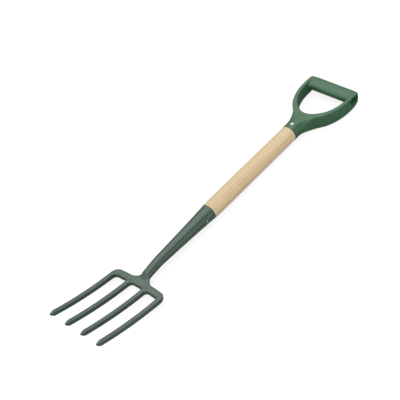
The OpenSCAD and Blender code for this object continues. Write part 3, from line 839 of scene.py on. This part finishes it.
def arm_rings(side):
    rings = []
    for i in range(ARM_STEPS + 1):
        angle = mix(ARM_START, 90.0, i / ARM_STEPS)
        inner = outline(angle, INNER_HALF, OPENING - INNER_STRAIGHT, BAR_Y - INNER_STRAIGHT,
                        INNER_POWER)
        inner.x -= THICKER * ease((inner.y - BAR_Y - THICKER_FROM) / THICKER_LENGTH)
        outer = outline(angle, GRIP_HALF, OPENING + CROTCH_THICK, BAR_Y, OUTER_POWER)
        rings.append(arm_ring(inner, outer, GRIP_END - outer.y))
    inner_x = INNER_HALF - THICKER
    for i in range(1, SIDE_STEPS):
        y = BAR_Y + (BAR_WIDTH - END_BACK) * i / SIDE_STEPS
        x = GRIP_HALF - rounding(GRIP_END - y, GRIP_CORNER)
        rings.append(arm_ring(Vector((inner_x, y, 0)), Vector((x, y, 0)), GRIP_END - y))
    for a in quarter_turn(END_STEPS):
        to_end = END_BACK * (1 - math.sin(a))
        y = GRIP_END - to_end
        x = GRIP_HALF - rounding(to_end, GRIP_CORNER)
        inner = Vector((min(inner_x, x - LEAST_ARM), y, 0))
        rings.append(arm_ring(inner, Vector((x, y, 0)), to_end))
    return [[Vector((side * p.x, p.y, p.z)) for p in one] for one in rings]


blank = bmesh.new()
for side in (1, -1):
    loft(blank, arm_rings(side))
print("arms:", len(blank.faces), "faces")

# %% [markdown]
# ### Bar and throat
#
# The bar is a fat oval that lies a little below the arms' rims. Toward its ends its far side
# follows the grip's rounded corners, and small fillets fill the corners between bar and arms. The
# throat grows out of the round barrel, flattens to the depth of the arms and flares until it meets
# their outline.

# %% Bar
ALONG = Vector((0, 1, 0))
BAR_REACH, BAR_POWER, BAR_STEPS = INNER_HALF + 0.6, 2.5, 32
rings = []
for i in range(-BAR_STEPS, BAR_STEPS + 1):
    x = BAR_REACH * i / BAR_STEPS
    width = BAR_WIDTH - rounding(GRIP_HALF - abs(x), GRIP_CORNER)
    flat = crowned(BAR_FRONT + BAR_BACK, width, BAR_POWER)
    rings.append(ring(flat, (x, BAR_Y + width / 2, (BAR_FRONT - BAR_BACK) / 2), OUT, ALONG))
loft(blank, rings)

# fillets in the corners between bar and arms, sunk into both
FILLET, FILLET_HALF, FILLET_X, FILLET_Y = 8.0, 8.0, INNER_HALF + 3, BAR_Y + 8
for side in (1, -1):
    arc = [(INNER_HALF - FILLET * (1 - math.cos(a)), BAR_Y - FILLET * (1 - math.sin(a)))
           for a in quarter_turn(12)]
    plan = [(FILLET_X, BAR_Y - FILLET)] + arc + [(INNER_HALF - FILLET, FILLET_Y),
                                                 (FILLET_X, FILLET_Y)]
    loft(blank, [[Vector((side * x, y, z)) for x, y in plan] for z in (-FILLET_HALF, FILLET_HALF)])
print("with the bar:", len(blank.faces), "faces")

# %% Barrel and throat
BARREL, THROAT, THROAT_EDGE, FLARE_POWER = 19.4, 46.0, 3.0, 4
BARREL_END, THROAT_END = GRIP_Y + 17.5, OPENING_Y - 1.5
BARREL_STEPS, THROAT_STEPS = 8, 32
FLARE = outer_half_at(THROAT_END) - THROAT / 2
barrel = section(2 * BARREL, 2 * BARREL, BARREL, ROUND_POINTS)
rings = [ring(barrel, (0, mix(GRIP_Y, BARREL_END, i / BARREL_STEPS), 0), ACROSS, OUT)
         for i in range(BARREL_STEPS)]
for i in range(THROAT_STEPS + 1):
    t = i / THROAT_STEPS
    width = mix(2 * BARREL, THROAT, ease(t)) + 2 * FLARE * t**FLARE_POWER
    depth = mix(2 * BARREL, ARM_FRONT + ARM_BACK, ease(t))
    flat = section(width, depth, mix(BARREL, THROAT_EDGE, ease(t)), ROUND_POINTS)
    centre = (0, mix(BARREL_END, THROAT_END, t), ease(t) * (ARM_FRONT - ARM_BACK) / 2)
    rings.append(ring(flat, centre, ACROSS, OUT))
loft(blank, rings)
moulded_grip = as_object(blank, "moulded_grip", plastic)
fuse(moulded_grip, grain=0.85 * MM, rounds=10)
make_plain(moulded_grip, plastic)
print("grip moulding:", len(moulded_grip.data.polygons), "faces")

# %% [markdown]
# ### Drilling the grip
#
# The tenon's bore, the rivet's hole and the flat seats under its two ends are cut out of the
# moulding, each by one cylinder that lies along the shaft or across it. A bar this thick would
# sink as it cools, so both of its ends are cored: a tapered pocket with round corners is taken out
# too.


# %% Cutters
def drill(cutters, radius, start, end):
    """Adds a round cutter that lies along the shaft or runs from front to back."""
    aside = (Vector(end) - Vector(start)).normalized().cross(ACROSS)
    flat = section(2 * radius, 2 * radius, radius, 13)
    loft(cutters, [ring(flat, start, ACROSS, aside), ring(flat, end, ACROSS, aside)])


def cut(made, cutters, finish):
    """Takes cutters that don't overlap each other out of an object."""
    tool = as_object(cutters, "cutters")
    taken = made.modifiers.new("cut", "BOOLEAN")
    taken.operation, taken.solver, taken.object = "DIFFERENCE", "MANIFOLD", tool
    make_plain(made, finish)
    bpy.data.objects.remove(tool)


print("cutters ready")

# %% Drill the grip
RIVET_Y = GRIP_Y + 16.0
RIVET_HOLE, RIVET_SEAT, BORE, BORE_END_Y = 2.65, 5.1, 16.15, GRIP_Y + 49
FRONT_SEAT, BACK_SEAT = BARREL - 1.4, -(BARREL - 1.8)
# cutters start or end this far outside the moulding's end and middle line
PROUD, OUTSIDE = 1, 30
# the rivet's hole crosses the bore and the seats, so it is a cut of its own
hole = bmesh.new()
drill(hole, RIVET_HOLE, (0, RIVET_Y, -OUTSIDE), (0, RIVET_Y, OUTSIDE))
cut(moulded_grip, hole, plastic)
cores = bmesh.new()
drill(cores, BORE, (0, GRIP_Y - PROUD, 0), (0, BORE_END_Y, 0))
drill(cores, RIVET_SEAT, (0, RIVET_Y, FRONT_SEAT), (0, RIVET_Y, OUTSIDE))
drill(cores, RIVET_SEAT, (0, RIVET_Y, BACK_SEAT), (0, RIVET_Y, -OUTSIDE))
print("cutters for bore and seats:", len(cores.faces), "faces")

# %% Core the bar's ends
# depth in the bar, then height, near and far side of the pocket there
POCKET = ((-2.0, 20.5, -5.0, 29.5), (7.0, 18.0, 3.5, 28.5), (44.0, 15.0, 6.5, 26.5))
POCKET_CORNER, POCKET_LEVEL = 7.5, 1.8
for side in (1, -1):
    rings = []
    for deep, height, near, far in POCKET:
        centre = (side * (GRIP_HALF - deep), BAR_Y + (near + far) / 2, POCKET_LEVEL)
        rings.append(ring(section(height, far - near, POCKET_CORNER), centre, OUT, ALONG))
    loft(cores, rings)
cut(moulded_grip, cores, plastic)
moulded_grip.data.set_sharp_from_angle(angle=math.radians(50))
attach(moulded_grip, "root")
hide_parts("d_grip")
print("grip:", len(moulded_grip.data.polygons), "faces")

# %% [markdown]
# ## Rivets
#
# Two rivets hold the shaft: one through the grip, front to back, and one through the socket, side
# to side. Every head and peened end is the same low dome, so one node tree sets a dome on each
# point, turned to the direction stored there and scaled to its size.

# %% Rivet places
SOCKET_RIVET_Y, BEDDED, BURR_LEVEL = -23.4, 0.25, -BARREL + 0.8
SOCKET_SIDE = socket_radius(SOCKET_LENGTH + SOCKET_RIVET_Y) - BEDDED
# place, direction, width and height of each dome
RIVET_HEADS = (
    ((0, RIVET_Y, FRONT_SEAT), (0, 0, 1), 9.6, 1.7),
    ((0, RIVET_Y, BURR_LEVEL), (0, 0, -1), 6.6, 0.8),
    ((SOCKET_SIDE, SOCKET_RIVET_Y, 0), (1, 0, 0), 6.6, 1.0),
    ((-SOCKET_SIDE, SOCKET_RIVET_Y, 0), (-1, 0, 0), 6.6, 1.0),
)
heads = bpy.data.meshes.new("rivets")
heads.from_pydata([place(*spot) for spot, *_ in RIVET_HEADS], [], [])
facing = heads.attributes.new("facing", "FLOAT_VECTOR", "POINT")
size = heads.attributes.new("size", "FLOAT_VECTOR", "POINT")
for i, (_, normal, wide, tall) in enumerate(RIVET_HEADS):
    facing.data[i].vector = normal
    size.data[i].vector = (wide / 2 * MM, wide / 2 * MM, tall * MM)
rivets = bpy.data.objects.new("rivets", heads)
bpy.context.scene.collection.objects.link(rivets)
print("rivet heads:", len(RIVET_HEADS))

# %% Rivet tree
FLAT_UNDER, DOME_RINGS, DOME_FACETS = -0.6, 16, 48
tree, given, result = new_tree("domed_rivets", {"Facets": "Int", "Finish": "Material"})
ball = tree.add("GeometryNodeMeshUVSphere", {"Segments": given["Facets"], "Rings": DOME_RINGS})
point = tree.add("ShaderNodeSeparateXYZ", {"Vector": tree.add("GeometryNodeInputPosition")})
flat_z = tree.math("MAXIMUM", point.outputs["Z"], FLAT_UNDER)
dome_point = tree.add("ShaderNodeCombineXYZ", {"X": point.outputs["X"], "Y": point.outputs["Y"],
                                               "Z": flat_z})
dome = tree.add("GeometryNodeSetPosition", {"Geometry": ball.outputs["Mesh"],
                                            "Position": dome_point})
way = tree.add("GeometryNodeInputNamedAttribute", {"Name": "facing"}, data_type="FLOAT_VECTOR")
extent = tree.add("GeometryNodeInputNamedAttribute", {"Name": "size"}, data_type="FLOAT_VECTOR")
aimed = tree.add("FunctionNodeAlignRotationToVector", {"Vector": way.outputs["Attribute"]},
                 axis="Z")
set_heads = tree.add("GeometryNodeInstanceOnPoints", {
    "Points": given["Geometry"], "Instance": dome, "Rotation": aimed,
    "Scale": extent.outputs["Attribute"]})
solid = tree.add("GeometryNodeRealizeInstances", {"Geometry": set_heads})
coated = tree.add("GeometryNodeSetMaterial", {"Geometry": solid, "Material": given["Finish"]})
tree.feed(result.inputs[0], coated)
run_tree(rivets, tree, {"Facets": DOME_FACETS, "Finish": bright})
make_plain(rivets, bright)
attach(rivets, "root")
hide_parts("grip_rivet", "socket_rivet")
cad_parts["grip_rivet_burr"].data.materials.clear()
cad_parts["grip_rivet_burr"].data.materials.append(bright)
print("rivets:", len(rivets.data.polygons), "faces")

# %% [markdown]
# ## Floor and light
#
# The room is even at the front. At the rear and the left it rises from a dark floor line, and a
# wide softbox over the fork adds light from above. A black flag beside the softbox leaves a dark
# slot, so polished faces show light, then dark, then light again, which draws the long bands on the
# socket. The floor is pale: the camera sees it white, with the fork's shadow on it. Reflections see
# little of that white, so the undersides of paint and plastic stay dark.

# %% Floor
floor_finish = bpy.data.materials.new("pale_floor")
floor_finish.use_nodes = True
draw = Recipe(floor_finish.node_tree)
floor_finish.node_tree.nodes.clear()
paths = draw.add("ShaderNodeLightPath")
GLOW, VEIL, MATT, MATT_MIRRORED, MIRRORED = 0.82, 0.24, 0.48, 0.18, 0.1
mirror = draw.math("MULTIPLY", paths.outputs["Is Glossy Ray"], MIRRORED)
seen = draw.math("MAXIMUM", paths.outputs["Is Camera Ray"],
                 draw.math("MAXIMUM", mirror, paths.outputs["Is Transmission Ray"]))
glow = draw.add("ShaderNodeEmission", {"Color": (1, 1, 1, 1), "Strength": GLOW})
veil = draw.add("ShaderNodeBsdfDiffuse", {"Color": (VEIL, VEIL, VEIL, 1)})
white = draw.add("ShaderNodeAddShader")
draw.feed(white.inputs[0], glow)
draw.feed(white.inputs[1], veil)
matt = draw.add("ShaderNodeBsdfDiffuse", {
    "Color": draw.between(paths.outputs["Is Glossy Ray"], MATT, MATT_MIRRORED)})
either = draw.add("ShaderNodeMixShader", {"Fac": seen})
draw.feed(either.inputs[1], matt)
draw.feed(either.inputs[2], white)
draw.feed(draw.add("ShaderNodeOutputMaterial").inputs["Surface"], either)

HALF_FLOOR, FLOOR_LEVEL = 20.0, -0.0005
floor_mesh = bpy.data.meshes.new("floor")
floor_mesh.from_pydata([(x * HALF_FLOOR, y * HALF_FLOOR, FLOOR_LEVEL)
                        for x, y in ((-1, -1), (1, -1), (1, 1), (-1, 1))], [], [(0, 1, 2, 3)])
floor_mesh.materials.append(floor_finish)
floor = bpy.data.objects.new("floor", floor_mesh)
bpy.context.scene.collection.objects.link(floor)
print("floor", 2 * HALF_FLOOR, "m wide")

# %% Room light
world = bpy.data.worlds.new("studio")
world.use_nodes = True
bpy.context.scene.world = world
draw = Recipe(world.node_tree)
line_of_sight = draw.add("ShaderNodeTexCoord").outputs["Generated"]
sky = draw.add("ShaderNodeSeparateXYZ", {"Vector": line_of_sight})
# even at the front and brighter on the right; at the rear and the left it rises from a dark line
FRONT, RIGHT, LOW, HIGH = 1.0, 1.65, 0.15, 0.85
behind = draw.math("SUBTRACT", draw.math("MULTIPLY", sky.outputs["Y"], 0.8),
                   draw.math("MULTIPLY", sky.outputs["X"], 0.5))
rising = draw.between(draw.step(sky.outputs["Z"], 0.05, 0.50), LOW, HIGH)
room = draw.add("ShaderNodeMix", {"Factor": draw.step(behind, -0.15, 0.25)}, data_type="FLOAT")
draw.feed(room.inputs[2], draw.between(draw.step(sky.outputs["X"], 0.3, 0.8), FRONT, RIGHT))
draw.feed(room.inputs[3], rising)
# the black flag beside the softbox: where it hangs, and what light it leaves
FLAG_WAY, FLAG_LEAVES = (0.731, 0.295, 0.616), 0.2
flag = draw.add("ShaderNodeVectorMath", operation="DOT_PRODUCT")
draw.feed(flag.inputs[0], line_of_sight)
draw.feed(flag.inputs[1], FLAG_WAY)
shade = draw.between(draw.step(flag.outputs["Value"], 0.84, 0.93), 1.0, FLAG_LEAVES)
level = draw.math("MULTIPLY", room.outputs[0], shade)
draw.feed(world.node_tree.nodes["Background"].inputs["Strength"], level)
world.node_tree.nodes["Background"].inputs["Color"].default_value = (1.0, 1.0, 1.0, 1.0)
print("room light:", len(world.node_tree.nodes), "nodes")

# %% Softbox
RADIANCE = 0.8
BOX_HEIGHT, BOX_LEFT, BOX_RIGHT, BOX_FRONT, BOX_REAR = 1.6, -1.5, 0.85, -0.5, 2.4
soft = bpy.data.lights.new("softbox", "AREA")
soft.shape = "RECTANGLE"
soft.size = BOX_RIGHT - BOX_LEFT
soft.size_y = BOX_REAR - BOX_FRONT
soft.energy = RADIANCE * math.pi * soft.size * soft.size_y
softbox = bpy.data.objects.new("softbox", soft)
softbox.location = ((BOX_LEFT + BOX_RIGHT) / 2, (BOX_FRONT + BOX_REAR) / 2, BOX_HEIGHT)
bpy.context.scene.collection.objects.link(softbox)
bpy.context.scene.view_settings.view_transform = "Standard"
print("softbox", round(soft.size, 2), "x", round(soft.size_y, 2), "m,", round(soft.energy, 1), "W")
